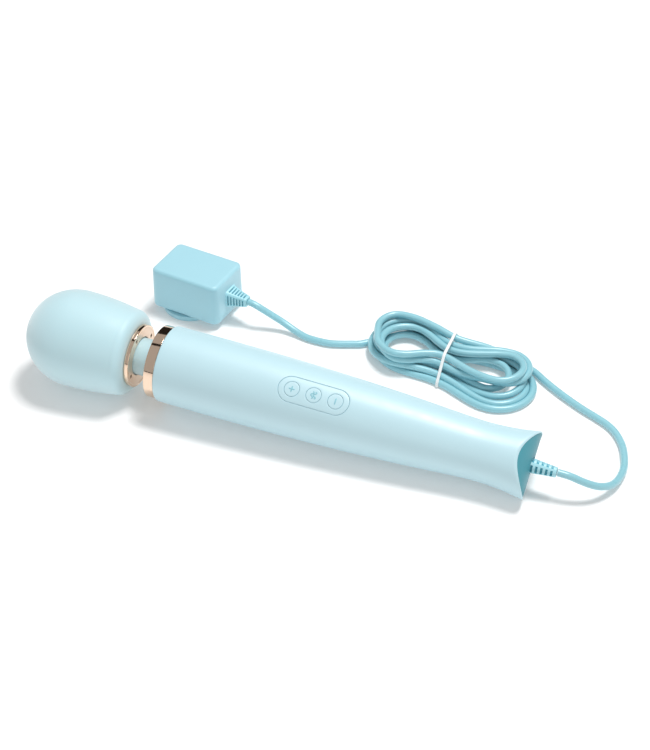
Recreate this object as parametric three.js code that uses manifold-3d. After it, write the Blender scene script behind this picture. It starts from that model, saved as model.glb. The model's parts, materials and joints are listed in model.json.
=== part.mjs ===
// A corded wand massager: a round soft head on a flexing neck, a tapered handle with three
// buttons, and a lead that runs through a tied hank to a wall adapter.
//
// Millimetres, +Z up. The wand lies along X on the surface z = 0, its head towards -X and its
// lead towards +X. The origin is under the middle of the wand's own box.

import * as THREE from 'three';
import { mergeVertices } from 'three/addons/utils/BufferGeometryUtils.js';
import Module from 'manifold-3d';

const wasm = await Module();
wasm.setup();

// ---------------------------------------------------------------- driving dimensions
// Inside the wand, x runs along its axis from the tip of the head, y is the handle's wide
// direction at the tail, and z points out through the buttons.

const GAP = 0.3;
const DEGREE = Math.PI / 180;

const WAND_LENGTH = 331.5;
const WAND_PITCH = 2.335 * DEGREE;
const WAND_ROLL = 33.6 * DEGREE;

const HEAD_RADIUS = 31;
const HEAD_WIDEST_X = 32.7;
const HEAD_RIM_X = 67.6;
const HEAD_RIM_RADIUS = 27.8;
const HEAD_BACK_X = 73.9;
const HEAD_BACK_RADIUS = 20.4;
const HEAD_SKIN = 3;
const HEAD_JOINT_X = 38;
const HEAD_BORE = 17;
const HEAD_LIP_X = 70.4;
const HEAD_LIP_RADIUS = 19.1;

const RING_RADIUS = 20.2;
const RING_FRONT_X = 74.2;
const RING_BACK_X = 77.1;
const RING_HOLE = 12.6;
const RING_SCREW_CIRCLE = 16;
const RING_SCREW_FIRST = 75 * DEGREE;

const NECK_RADIUS = 11.9;
const NECK_SEAT = 12.2;
const NECK_CORE_RADIUS = 9;
const NECK_FLANGE_RADIUS = 14;
const NECK_MIDDLE_X = 83;
const NECK_PLUG_REACH = 6.7;
const NECK_BUSH_REACH = 3.6;
const NECK_BUSH_RADIUS = 8.6;
const SLEEVE_FRONT_X = 71.5;
const SLEEVE_BACK_X = 94.1;
const WIRE_BORE = 3;

const COLLAR_RADIUS = 23.2;
const COLLAR_BORE = 21.7;
const COLLAR_FRONT_X = 88.9;
const COLLAR_BACK_X = 95.3;

const HANDLE_FRONT_X = 95.6;
const HANDLE_WALL = 2.4;
const FLARE_START_X = 299.5;
const FLARE_RADIUS = 18;
const FLARE_HALF_WIDTH = 21.25;
const FLARE_HALF_THICKNESS = 19;
const TAIL_ROUND = 24.2;
const TAIL_PLATE = 3;

const PANEL_X = 197;
const PANEL_LENGTH = 44.8;
const PANEL_WIDTH = 16.2;
const PANEL_THICKNESS = 2;
const BUTTON_PITCH = 13.85;
const BUTTON_RADIUS = 4.65;
const BUTTON_FLANGE = 5.6;
const BUTTON_BOTTOM = 18.2;

const BOARD_FRONT_X = 152;
const BOARD_LENGTH = 86;
const BOARD_WIDTH = 26;
const BOARD_BOTTOM = 10;
const BOARD_THICKNESS = 1.2;
const BOARD_TOP = BOARD_BOTTOM + BOARD_THICKNESS;
const BOARD_SCREWS = [[156.5, -9.5], [233.5, 9.5]];

const MOTOR_RADIUS = 13.9;
const MOTOR_FRONT_X = 27;
const MOTOR_BACK_X = 58;
const SHAFT_RADIUS = 1.6;

const CORD_RADIUS = 2.3;
const INNER_LEAD_RADIUS = 1.8;
const WIRE_RADIUS = 1.6;
const RELIEF_END_X = 346.2;

const HANK_CENTRE = [87, 90.5];
const HANK_YAW = -9 * DEGREE;
const HANK_LOBE_RADIUS = 27;
const HANK_LOBE_SPACING = 69;
const HANK_WAIST_HALF = 21.5;
const HANK_BOTTOM = 1.5;
const HANK_TOP = 13;
const TIE_THICKNESS = 1.2;
const TIE_WIDTH = 2.2;
const TIE_SKEW = 9 * DEGREE;
const TIE_OFFSET = -2.6;

const ADAPTER_CENTRE = [-93, 94.3];
const ADAPTER_YAW = -7.8 * DEGREE;
const ADAPTER_LENGTH = 51.8;
const ADAPTER_WIDTH = 36.7;
const ADAPTER_BOTTOM = 4.2;
const ADAPTER_TOP = 34.2;
const ADAPTER_BEVEL = 2.5;
const ADAPTER_CORNER = 5;
const ADAPTER_CAVITY = [45.4, 30.4];
const ADAPTER_OUTLET_Z = 18.2;
const SOCKET_RADIUS = 19;
const SOCKET_CENTRE = [-5.2, -0.9];

const FINE = 32;
const MEDIUM = 24;
const COARSE = 12;

// The lead on the handle's side: out of the strain relief, down to the surface, round and
// back into the hank's right end.
const HANDLE_LEAD_ROUTE = [
  [180.6, 0, 18.5],
  [184.5, 0, 18.3],
  [189.1, 0.4, 17.4],
  [197.9, 2.4, 13.5],
  [205.2, 7, 9.2],
  [210.9, 15.2, 5.3],
  [213.5, 25.8, 3],
  [213.7, 36.3, 2.4],
  [211.7, 45.6, 2.4],
  [208.1, 55.3, 2.4],
  [202.3, 64.2, 2.4],
  [195.3, 70.4, 2.4],
  [186.9, 74.9, 2.4],
  [176.9, 79.6, 2.4],
  [165.9, 85.6, 2.4],
  [155.9, 91.7, 2.4],
  [147.8, 97.2, 2.4],
];

// The lead on the adapter's side, from its strain relief down to the hank's left end.
const ADAPTER_LEAD_ROUTE = [
  [-53.6, 88.9, 18.2],
  [-49.6, 88.4, 17.7],
  [-45.6, 88.2, 16.2],
  [-37.8, 89.2, 11.6],
  [-29, 89.6, 7],
  [-20.1, 87.9, 3.8],
  [-10.9, 85.6, 2.4],
  [-2.7, 84.9, 2.4],
  [5.5, 85.3, 2.4],
  [12.7, 87.3, 2.4],
  [19.5, 89.9, 2.4],
  [25.1, 92.2, 2.4],
];

// ---------------------------------------------------------------- materials

function finish(color, roughness, metalness = 0) {
  return new THREE.MeshStandardMaterial({ color, roughness, metalness });
}

const SILICONE = finish(0xd3ebf1, 0.75);
const SHELL = finish(0xcbe8ef, 0.35);
const BUTTON = finish(0xcfeaf1, 0.35);
const TAIL = finish(0x9fcdd8, 0.4);
const ROSE_GOLD = finish(0xe3b79b, 0.12, 1);
const NYLON = finish(0xd9dcdc, 0.5);
const RUBBER = finish(0x2b2c2e, 0.8);
const STEEL = finish(0xb9bcbe, 0.3, 1);
const BRASS = finish(0xc9a14a, 0.35, 1);
const BOARD = finish(0x1f5a3a, 0.5);
const CHIP = finish(0x1a1a1c, 0.5);
const CORD = finish(0xb5dfe8, 0.4);
const TIE = finish(0xf4f4f2, 0.4);

// ---------------------------------------------------------------- solids and booleans

// The faces of a closed geometry, without the slivers left where a profile meets its axis.
function trueFaces(merged) {
  const faces = [];
  const index = merged.index.array;
  for (let i = 0; i < index.length; i += 3) {
    const [a, b, c] = [index[i], index[i + 1], index[i + 2]];
    if (a !== b && b !== c && c !== a) faces.push([a, b, c]);
  }
  return faces;
}

function manifoldOf(merged, faces) {
  return new wasm.Manifold(new wasm.Mesh({
    numProp: 3,
    vertProperties: merged.attributes.position.array,
    triVerts: new Uint32Array(faces.flat()),
  }));
}

// A closed geometry as a solid with its faces pointing out.
function solidOf(geometry) {
  const bare = geometry.index ? geometry.toNonIndexed() : geometry.clone();
  bare.deleteAttribute('normal');
  bare.deleteAttribute('uv');
  const merged = mergeVertices(bare, 1e-4);
  const faces = trueFaces(merged);
  const solid = manifoldOf(merged, faces);
  return solid.volume() > 0 ? solid : manifoldOf(merged, faces.map(([a, b, c]) => [a, c, b]));
}

function geometryOf(solid) {
  const mesh = solid.getMesh();
  const geometry = new THREE.BufferGeometry();
  geometry.setAttribute('position', new THREE.BufferAttribute(mesh.vertProperties, 3));
  geometry.setIndex(new THREE.BufferAttribute(mesh.triVerts, 1));
  const faceted = geometry.toNonIndexed();
  faceted.computeVertexNormals();
  return faceted;
}

// A solid turned round the X axis from [x, radius] points. A profile that doesn't start and
// end on the axis closes on itself.
function turned(profile, sides) {
  const onAxis = profile[0][1] === 0 && profile.at(-1)[1] === 0;
  const closed = onAxis ? profile : [...profile, profile[0]];
  const points = closed.map(([x, radius]) => new THREE.Vector2(radius, x));
  return new THREE.LatheGeometry(points, sides).rotateZ(-Math.PI / 2);
}

// The same, turned round the Z axis from [z, radius] points.
function turnedUp(profile, sides) {
  return turned(profile, sides).rotateY(-Math.PI / 2);
}

function block(length, width, height, x, y, z) {
  return new THREE.BoxGeometry(length, width, height).translate(x, y, z);
}

// An upright post of one radius.
function post(radius, bottom, top, sides, x = 0, y = 0) {
  return turnedUp([[bottom, 0], [bottom, radius], [top, radius], [top, 0]], sides).translate(x, y, 0);
}

// A rod along X of one radius.
function rod(radius, from, to, sides) {
  return turned([[from, 0], [from, radius], [to, radius], [to, 0]], sides);
}

function upright(shape, bottom, top, curveSegments) {
  const options = { depth: top - bottom, bevelEnabled: false, curveSegments };
  return new THREE.ExtrudeGeometry(shape, options).translate(0, 0, bottom);
}

function roundedRectangle(length, width, corner) {
  const shape = new THREE.Shape();
  const x = length / 2 - corner;
  const y = width / 2 - corner;
  shape.absarc(x, y, corner, 0, Math.PI / 2);
  shape.absarc(-x, y, corner, Math.PI / 2, Math.PI);
  shape.absarc(-x, -y, corner, Math.PI, 1.5 * Math.PI);
  shape.absarc(x, -y, corner, 1.5 * Math.PI, 2 * Math.PI);
  shape.closePath();
  return shape;
}

// A round flexible lead along a smooth curve through the route's points.
function lead(route, radius, sides, steps) {
  const curve = new THREE.CatmullRomCurve3(route.map((point) => new THREE.Vector3(...point)));
  const section = new THREE.Shape().absarc(0, 0, radius, 0, 2 * Math.PI);
  const options = { steps, extrudePath: curve, curveSegments: sides / 2 };
  return new THREE.ExtrudeGeometry(section, options);
}

// ---------------------------------------------------------------- assembly helpers

const massager = new THREE.Group();
const wand = new THREE.Group();
const wandAxis = new THREE.Group();
const adapter = new THREE.Group();
massager.add(wand, adapter);
wand.add(wandAxis);

wand.rotation.set(0, WAND_PITCH, 0);
wandAxis.rotation.set(WAND_ROLL, 0, 0);
adapter.position.set(...ADAPTER_CENTRE, 0);
adapter.rotation.z = ADAPTER_YAW;

function place(group, name, shape, material) {
  const solid = shape.isBufferGeometry ? solidOf(shape) : shape;
  const mesh = new THREE.Mesh(geometryOf(solid), material);
  mesh.name = name;
  group.add(mesh);
}

const onWand = (name, shape, material) => place(wandAxis, name, shape, material);
const onAdapter = (name, shape, material) => place(adapter, name, shape, material);

// ---------------------------------------------------------------- head

// The head's outline from its tip to its rim, moved in by an inset.
function headOutline(inset) {
  const points = [];
  for (let step = 0; step <= 7; step += 1) {
    const angle = (step / 7) * (Math.PI / 2);
    const x = HEAD_WIDEST_X - (HEAD_WIDEST_X - inset) * Math.cos(angle);
    points.push([x, step === 0 ? 0 : (HEAD_RADIUS - inset) * Math.sin(angle)]);
  }
  return points;
}

function headSideRadius(x, inset) {
  const along = (x - HEAD_WIDEST_X) / (HEAD_RIM_X - HEAD_WIDEST_X);
  return HEAD_RADIUS - inset - (HEAD_RADIUS - HEAD_RIM_RADIUS) * along ** 2;
}

function headSide(stations, inset) {
  return stations.map((x) => [x, headSideRadius(x, inset)]);
}

function headCap() {
  const shoulder = [];
  for (let step = 1; step <= 4; step += 1) {
    const angle = (step / 4) * (Math.PI / 2);
    const x = HEAD_RIM_X + (HEAD_BACK_X - HEAD_RIM_X) * Math.sin(angle);
    shoulder.push([x, HEAD_BACK_RADIUS + (HEAD_RIM_RADIUS - HEAD_BACK_RADIUS) * Math.cos(angle)]);
  }
  const lip = [[HEAD_BACK_X, HEAD_LIP_RADIUS], [HEAD_LIP_X, HEAD_LIP_RADIUS], [HEAD_LIP_X, 22.8]];
  const outside = [...headOutline(0), ...headSide([44, 56, HEAD_RIM_X], 0), ...shoulder];
  const inside = [...headOutline(HEAD_SKIN), ...headSide([44, 56, HEAD_RIM_X], HEAD_SKIN)];
  return turned([...outside, ...lip, ...inside.reverse()], FINE);
}

const CORE_INSET = HEAD_SKIN + GAP;

function headCoreFront() {
  const outside = [...headOutline(CORE_INSET), ...headSide([HEAD_JOINT_X], CORE_INSET)];
  const bore = [[HEAD_JOINT_X, HEAD_BORE], [13, HEAD_BORE], [13, 0]];
  return turned([...outside, ...bore], MEDIUM);
}

function ringScrewPlaces() {
  return [0, 1, 2, 3].map((turn) => {
    const angle = RING_SCREW_FIRST + turn * (Math.PI / 2);
    return [RING_SCREW_CIRCLE * Math.cos(angle), RING_SCREW_CIRCLE * Math.sin(angle)];
  });
}

function headCoreRear() {
  const front = HEAD_JOINT_X + GAP;
  const back = RING_FRONT_X - GAP;
  const hubRadius = HEAD_LIP_RADIUS - GAP;
  const core = NECK_CORE_RADIUS + GAP;
  const outside = [[front, HEAD_BORE], ...headSide([front, 48, 57], CORE_INSET), [HEAD_RIM_X - 0.2, 24.3]];
  const step = HEAD_LIP_X - GAP;
  const hub = [[step, 22.4], [step, hubRadius], [back, hubRadius], [back, NECK_SEAT]];
  const bore = [[71.1, NECK_SEAT], [71.1, core], [66, core], [66, HEAD_BORE]];
  const body = solidOf(turned([...outside, ...hub, ...bore], MEDIUM));
  return ringScrewPlaces().reduce((left, [y, z]) => {
    return left.subtract(solidOf(rod(1.2, 70.6, 75, 10).translate(0, y, z)));
  }, body);
}

function headRing() {
  const section = [[RING_FRONT_X, RING_HOLE], [RING_FRONT_X, RING_RADIUS], [RING_BACK_X, RING_RADIUS]];
  const body = solidOf(turned([...section, [RING_BACK_X, RING_HOLE]], FINE));
  const pocket = RING_BACK_X - 1.3;
  return ringScrewPlaces().reduce((left, [y, z]) => {
    const hole = [[70, 0], [70, 1.1], [pocket, 1.1], [pocket, 1.6], [80, 1.6], [80, 0]];
    return left.subtract(solidOf(turned(hole, 12).translate(0, y, z)));
  }, body);
}

function ringScrew([y, z]) {
  const seat = RING_BACK_X - 1;
  const profile = [[71, 0], [71, 0.8], [seat, 0.8], [seat, 1.3], [seat + 0.8, 1.3], [seat + 0.8, 0]];
  return turned(profile, 12).translate(0, y, z);
}

function buildHead() {
  onWand('head_cap', headCap(), SILICONE);
  onWand('head_core_front', headCoreFront(), NYLON);
  onWand('head_core_rear', headCoreRear(), NYLON);
  onWand('head_ring', headRing(), ROSE_GOLD);
  ringScrewPlaces().forEach((spot, i) => onWand(`head_ring_screw_${i + 1}`, ringScrew(spot), STEEL));
}

// ---------------------------------------------------------------- motor

// An axial ring between two radii.
function ring(from, to, inner, outer, sides) {
  return turned([[from, inner], [from, outer], [to, outer], [to, inner]], sides);
}

function motorCan() {
  const bushSeat = [[MOTOR_FRONT_X, 4.3], [MOTOR_FRONT_X + 4, 4.3]];
  const bore = [[MOTOR_FRONT_X + 4, 1.9], [MOTOR_FRONT_X + 8, 1.9], [MOTOR_FRONT_X + 8, 0]];
  const outside = [[MOTOR_FRONT_X, MOTOR_RADIUS], [MOTOR_BACK_X, MOTOR_RADIUS], [MOTOR_BACK_X, 0]];
  return turned([...bore.reverse(), ...bushSeat.reverse(), ...outside], MEDIUM);
}

// A half disc on a hub, whose weight off the axis makes the head shake.
function eccentricWeight() {
  const section = new THREE.Shape();
  section.absarc(0, 0, 11, 0, Math.PI);
  section.absarc(0, 0, 3.4, Math.PI, 2 * Math.PI);
  section.closePath();
  const shaftHole = new THREE.Path().absarc(0, 0, SHAFT_RADIUS + GAP, 0, 2 * Math.PI, true);
  section.holes.push(shaftHole);
  return upright(section, 16, 24, COARSE).rotateY(Math.PI / 2);
}

function buildMotor() {
  onWand('motor_can', motorCan(), STEEL);
  onWand('motor_bush', ring(MOTOR_FRONT_X, MOTOR_FRONT_X + 3.7, 1.7, 4, COARSE), BRASS);
  onWand('motor_mount_front', ring(29, 33, MOTOR_RADIUS + GAP, HEAD_BORE - GAP, MEDIUM), RUBBER);
  onWand('motor_mount_rear', ring(52, 56, MOTOR_RADIUS + GAP, HEAD_BORE - GAP, MEDIUM), RUBBER);
  onWand('motor_shaft', rod(SHAFT_RADIUS, 14.5, MOTOR_FRONT_X + 7, COARSE), STEEL);
  onWand('eccentric_weight', eccentricWeight(), STEEL);
}

// ---------------------------------------------------------------- neck

// A tubular plug that reaches towards the neck's middle, with a flange at its far end.
function neckPlug(tip, shoulder, flangeEnd) {
  const stem = [[tip, WIRE_BORE], [tip, NECK_CORE_RADIUS], [shoulder, NECK_CORE_RADIUS]];
  const flange = [[shoulder, NECK_FLANGE_RADIUS], [flangeEnd, NECK_FLANGE_RADIUS], [flangeEnd, WIRE_BORE]];
  return turned([...stem, ...flange], MEDIUM);
}

function buildNeck() {
  const inner = NECK_CORE_RADIUS + GAP;
  const bushEnds = [NECK_MIDDLE_X - NECK_BUSH_REACH, NECK_MIDDLE_X + NECK_BUSH_REACH];
  const bush = ring(...bushEnds, WIRE_BORE, NECK_BUSH_RADIUS, MEDIUM);
  const frontSleeve = ring(SLEEVE_FRONT_X, NECK_MIDDLE_X - GAP / 2, inner, NECK_RADIUS, MEDIUM);
  const rearSleeve = ring(NECK_MIDDLE_X + GAP / 2, SLEEVE_BACK_X, inner, NECK_RADIUS, MEDIUM);
  onWand('neck_front_plug', neckPlug(NECK_MIDDLE_X - NECK_PLUG_REACH, 65.7, 62), NYLON);
  onWand('neck_bush', bush, RUBBER);
  onWand('neck_rear_plug', neckPlug(NECK_MIDDLE_X + NECK_PLUG_REACH, 97.8, 100), NYLON);
  onWand('neck_sleeve_front', frontSleeve, SILICONE);
  onWand('neck_sleeve_rear', rearSleeve, SILICONE);
}

// ---------------------------------------------------------------- handle

function handleRing() {
  const plate = COLLAR_FRONT_X + 2.2;
  const front = [[plate, RING_HOLE], [COLLAR_FRONT_X, RING_HOLE], [COLLAR_FRONT_X, COLLAR_RADIUS]];
  const back = [[COLLAR_BACK_X, COLLAR_RADIUS], [COLLAR_BACK_X, COLLAR_BORE], [plate, COLLAR_BORE]];
  return turned([...front, ...back], FINE);
}

// The moulding in the handle's mouth that carries the neck's rear plug and its sleeve.
function neckSocket() {
  const front = COLLAR_FRONT_X + 2.5;
  const core = NECK_CORE_RADIUS + GAP;
  const outside = [[front, NECK_SEAT], [front, 20.7], [106, 20.7], [106, 18.2]];
  return turned([...outside, [97.5, 18.2], [97.5, core], [94.4, core], [94.4, NECK_SEAT]], MEDIUM);
}

// The handle's radius tapers along one smooth curve, full at the front and slim at the tail.
const HANDLE_TAPER = new THREE.SplineCurve([
  new THREE.Vector2(97.2, 24.3),
  new THREE.Vector2(135, 24.4),
  new THREE.Vector2(178, 23.9),
  new THREE.Vector2(220, 22.5),
  new THREE.Vector2(260.6, 20.4),
  new THREE.Vector2(FLARE_START_X, FLARE_RADIUS),
]);

// A turned handle blank whose tail is stretched in y and pressed in z past the flare's start.
function handleBlank(inset, frontX) {
  const front = [[frontX, 0], [frontX, 23.5 - inset]];
  const taper = HANDLE_TAPER.getPoints(7).map((point) => [point.x, point.y - inset]);
  const tail = [1, 2, 3, 4].map((step) => [FLARE_START_X + step * 8.5, FLARE_RADIUS - inset]);
  const geometry = turned([...front, ...taper, ...tail, [tail.at(-1)[0], 0]], FINE);
  const position = geometry.attributes.position;
  for (let i = 0; i < position.count; i += 1) {
    const along = Math.max(0, (position.getX(i) - FLARE_START_X) / (WAND_LENGTH - FLARE_START_X));
    const wider = 1 + (FLARE_HALF_WIDTH / FLARE_RADIUS - 1) * along ** 2;
    const thinner = 1 + (FLARE_HALF_THICKNESS / FLARE_RADIUS - 1) * along ** 2;
    position.setY(i, position.getY(i) * wider);
    position.setZ(i, position.getZ(i) * thinner);
  }
  return solidOf(geometry);
}

// Everything past a rounded end: a cylinder along y that bulges to x = end.
function beyond(end) {
  const shape = new THREE.Shape();
  shape.absarc(end - TAIL_ROUND, 0, TAIL_ROUND, -Math.PI / 2, Math.PI / 2);
  shape.lineTo(end + 12, TAIL_ROUND);
  shape.lineTo(end + 12, -TAIL_ROUND);
  shape.closePath();
  return solidOf(upright(shape, -30, 30, MEDIUM).rotateX(Math.PI / 2));
}

function panelPrism(inset) {
  const width = PANEL_WIDTH - 2 * inset;
  const outline = roundedRectangle(PANEL_LENGTH - 2 * inset, width, width / 2 - 0.01);
  return solidOf(upright(outline, 12, 30, 6).translate(PANEL_X, 0, 0));
}

const BUTTONS = { button_plus: -1, button_pattern: 0, button_minus: 1 };

function button(x, outside) {
  const stem = solidOf(post(BUTTON_RADIUS, BUTTON_BOTTOM, 30, MEDIUM, x)).intersect(outside);
  return stem.add(solidOf(post(BUTTON_FLANGE, BUTTON_BOTTOM, BUTTON_BOTTOM + 1, MEDIUM, x)));
}

function buildHandle() {
  const outside = handleBlank(0, HANDLE_FRONT_X);
  const hollow = handleBlank(HANDLE_WALL, HANDLE_FRONT_X - 1);
  const shell = outside.subtract(hollow).subtract(beyond(WAND_LENGTH));
  const upperHalf = solidOf(block(300, 60, 30, 220, 0, 15 + GAP / 2));
  const lowerHalf = solidOf(block(300, 60, 30, 220, 0, -15 - GAP / 2));

  onWand('handle_ring', handleRing(), ROSE_GOLD);
  onWand('neck_socket', neckSocket(), NYLON);
  onWand('handle_shell_upper', shell.intersect(upperHalf).subtract(panelPrism(0)), SHELL);
  onWand('handle_shell_lower', shell.intersect(lowerHalf), SHELL);

  const plate = handleBlank(HANDLE_WALL + GAP, 200).intersect(beyond(WAND_LENGTH - TAIL_PLATE));
  const reliefHole = solidOf(rod(5.3, 310, 345, MEDIUM));
  onWand('tail_plate', plate.subtract(beyond(WAND_LENGTH)).subtract(reliefHole), TAIL);

  const panelSkin = outside.subtract(handleBlank(PANEL_THICKNESS, HANDLE_FRONT_X - 1));
  let panel = panelSkin.intersect(panelPrism(GAP));
  for (const [name, place] of Object.entries(BUTTONS)) {
    const x = PANEL_X + place * BUTTON_PITCH;
    panel = panel.subtract(solidOf(post(BUTTON_RADIUS + 0.35, 10, 30, MEDIUM, x)));
    onWand(name, button(x, outside), BUTTON);
  }
  onWand('button_panel', panel, SHELL);
}

// ---------------------------------------------------------------- electronics in the handle

function buttonPad() {
  const sheet = upright(roundedRectangle(44, 13.5, 6.7), 15.4, 16.2, 4).translate(PANEL_X, 0, 0);
  return Object.values(BUTTONS).reduce((pad, place) => {
    return pad.add(solidOf(post(3, 15.8, 17.2, COARSE, PANEL_X + place * BUTTON_PITCH)));
  }, solidOf(sheet));
}

function controlBoard() {
  const middle = BOARD_FRONT_X + BOARD_LENGTH / 2;
  const height = BOARD_BOTTOM + BOARD_THICKNESS / 2;
  const sheet = block(BOARD_LENGTH, BOARD_WIDTH, BOARD_THICKNESS, middle, 0, height);
  return BOARD_SCREWS.reduce((board, [x, y]) => {
    return board.subtract(solidOf(post(1.4, 5, 15, 12, x, y)));
  }, solidOf(sheet));
}

function boardCarrier() {
  const length = BOARD_LENGTH + 6;
  const middle = BOARD_FRONT_X + BOARD_LENGTH / 2;
  let carrier = solidOf(block(length, 28, 3.5, middle, 0, BOARD_BOTTOM - GAP - 1.75));
  for (const y of [-8, 8]) {
    carrier = carrier.add(solidOf(block(length - 10, 2, 22, middle - 5, y, -4)));
  }
  return BOARD_SCREWS.reduce((left, [x, y]) => left.subtract(solidOf(post(1.4, 7, 15, 12, x, y))), carrier);
}

function boardScrew([x, y]) {
  const seat = BOARD_TOP + GAP;
  const profile = [[7.4, 0], [7.4, 1.1], [seat, 1.1], [seat, 2.2], [seat + 1.4, 2.2], [seat + 1.4, 0]];
  return turnedUp(profile, 12).translate(x, y, 0);
}

function buildElectronics() {
  const onBoard = BOARD_TOP + GAP;
  onWand('button_pad', buttonPad(), RUBBER);
  onWand('control_board', controlBoard(), BOARD);
  onWand('board_carrier', boardCarrier(), NYLON);
  BOARD_SCREWS.forEach((spot, i) => onWand(`board_screw_${i + 1}`, boardScrew(spot), STEEL));
  for (const [name, place] of Object.entries(BUTTONS)) {
    const spot = PANEL_X + place * BUTTON_PITCH;
    onWand(name.replace('button', 'switch'), block(6, 6, 3.4, spot, 0, onBoard + 1.7), CHIP);
  }
  onWand('driver_chip', block(8, 7, 1.5, 167, -6, onBoard + 0.75), CHIP);
  onWand('board_capacitor', rod(3.1, 156, 168, COARSE).translate(0, 6, onBoard + 3.1), CHIP);
  onWand('power_connector', block(9, 10, 5, 231, -3, onBoard + 2.5), NYLON);
  const wireRoute = [[151.3, 0, 12], [138, 0, 9], [118, 0, 1.5], [100.6, 0, 0]];
  onWand('motor_wires', lead(wireRoute, WIRE_RADIUS, 8, 8), RUBBER);
}

// ---------------------------------------------------------------- lead entry at the tail

function cordClamp() {
  const saddle = solidOf(block(9, 16, 18, 304.5, 0, -4));
  return saddle.subtract(solidOf(rod(CORD_RADIUS + GAP, 290, 320, COARSE)));
}

function handleStrainRelief() {
  const inside = [[319, 0], [319, 3.2], [323, 3.2], [323, 6.5], [325.8, 6.5], [325.8, 5]];
  return turned([...inside, [332, 5], [RELIEF_END_X, 2.9], [RELIEF_END_X, 0]], COARSE);
}

function buildLeadEntry() {
  const toClamp = [[318.6, 0, 0], [304, 0, 0], [286, 0, 0.8]];
  const toBoard = [[262, -1.5, 7], [248, -3, 12.4], [236, -3, 14.2]];
  onWand('cord_clamp', cordClamp(), NYLON);
  onWand('handle_strain_relief', handleStrainRelief(), CORD);
  onWand('power_lead_inner', lead([...toClamp, ...toBoard], INNER_LEAD_RADIUS, 8, 12), CORD);
}

// ---------------------------------------------------------------- cord, hank and tie

// Two round lobes whose sides run smoothly into a slightly narrower waist.
function hankOutline() {
  const reach = HANK_LOBE_SPACING / 2;
  const lean = 105 * DEGREE;
  const side = [reach + HANK_LOBE_RADIUS * Math.cos(lean), HANK_LOBE_RADIUS * Math.sin(lean)];
  const bend = side[0] + (side[1] - HANK_WAIST_HALF) * Math.tan(lean);
  const shape = new THREE.Shape();
  shape.absarc(reach, 0, HANK_LOBE_RADIUS, -lean, lean);
  shape.quadraticCurveTo(bend, HANK_WAIST_HALF, 0, HANK_WAIST_HALF);
  shape.quadraticCurveTo(-bend, HANK_WAIST_HALF, -side[0], side[1]);
  shape.absarc(-reach, 0, HANK_LOBE_RADIUS, Math.PI - lean, Math.PI + lean);
  shape.quadraticCurveTo(-bend, -HANK_WAIST_HALF, 0, -HANK_WAIST_HALF);
  shape.quadraticCurveTo(bend, -HANK_WAIST_HALF, side[0], -side[1]);
  return shape;
}

function ontoHank(geometry, extraYaw = 0) {
  return geometry.rotateZ(HANK_YAW + extraYaw).translate(...HANK_CENTRE, 0);
}

// A flat band round the waist, passing under the hank and over it.
function hankTie() {
  const half = HANK_WAIST_HALF + 1.4;
  const outer = block(TIE_WIDTH, 2 * half + 2 * TIE_THICKNESS, HANK_TOP + GAP + TIE_THICKNESS, TIE_OFFSET, 0,
    (HANK_TOP + GAP + TIE_THICKNESS) / 2);
  const inner = block(TIE_WIDTH + 2, 2 * half, HANK_TOP + GAP - TIE_THICKNESS, TIE_OFFSET, 0,
    (HANK_TOP + GAP + TIE_THICKNESS) / 2);
  return solidOf(ontoHank(outer, TIE_SKEW)).subtract(solidOf(ontoHank(inner, TIE_SKEW)));
}

function buildCord() {
  place(massager, 'cord_handle_lead', lead(HANDLE_LEAD_ROUTE, CORD_RADIUS, 8, 18), CORD);
  place(massager, 'cord_hank', ontoHank(upright(hankOutline(), HANK_BOTTOM, HANK_TOP, 6)), CORD);
  place(massager, 'hank_tie', hankTie(), TIE);
  place(massager, 'cord_adapter_lead', lead(ADAPTER_LEAD_ROUTE, CORD_RADIUS, 8, 12), CORD);
}

// ---------------------------------------------------------------- wall adapter

function adapterCover() {
  const inset = 2 * ADAPTER_BEVEL;
  const corner = ADAPTER_CORNER - ADAPTER_BEVEL;
  const outline = roundedRectangle(ADAPTER_LENGTH - inset, ADAPTER_WIDTH - inset, corner);
  const options = {
    depth: ADAPTER_TOP - ADAPTER_BOTTOM - inset,
    bevelSize: ADAPTER_BEVEL,
    bevelThickness: ADAPTER_BEVEL,
    bevelSegments: 3,
    curveSegments: 5,
  };
  const outer = new THREE.ExtrudeGeometry(outline, options).translate(0, 0, ADAPTER_BOTTOM + ADAPTER_BEVEL);
  const cavity = upright(roundedRectangle(...ADAPTER_CAVITY, 3), 0, ADAPTER_TOP - 2.4, 4);
  const outlet = rod(4.3, 15, 30, COARSE).translate(0, 0, ADAPTER_OUTLET_Z);
  return solidOf(outer).subtract(solidOf(cavity)).subtract(solidOf(outlet));
}

function adapterBase() {
  const [length, width] = ADAPTER_CAVITY.map((side) => side - 2 * GAP);
  const plate = solidOf(upright(roundedRectangle(length, width, 3 - GAP), 4.4, 7, 4));
  return plate.subtract(solidOf(post(12.3, 0, 12, MEDIUM, ...SOCKET_CENTRE)));
}

const CONTACT_OFFSETS = [-6.5, 6.5];

// A round boss with a recessed face and two contact pins, where a plug head clicks in.
function plugSocket() {
  const recess = [[2.6, 0], [2.6, 13], [0, 13]];
  const flange = [[0, SOCKET_RADIUS - 0.8], [0.8, SOCKET_RADIUS], [ADAPTER_BOTTOM - GAP, SOCKET_RADIUS]];
  const spigot = [[ADAPTER_BOTTOM - GAP, 12], [10, 12], [10, 0]];
  const body = solidOf(turnedUp([...recess, ...flange, ...spigot], FINE).translate(...SOCKET_CENTRE, 0));
  return CONTACT_OFFSETS.reduce((left, y) => {
    return left.subtract(solidOf(post(2.3, -1, 12, 12, SOCKET_CENTRE[0], SOCKET_CENTRE[1] + y)));
  }, body);
}

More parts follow.
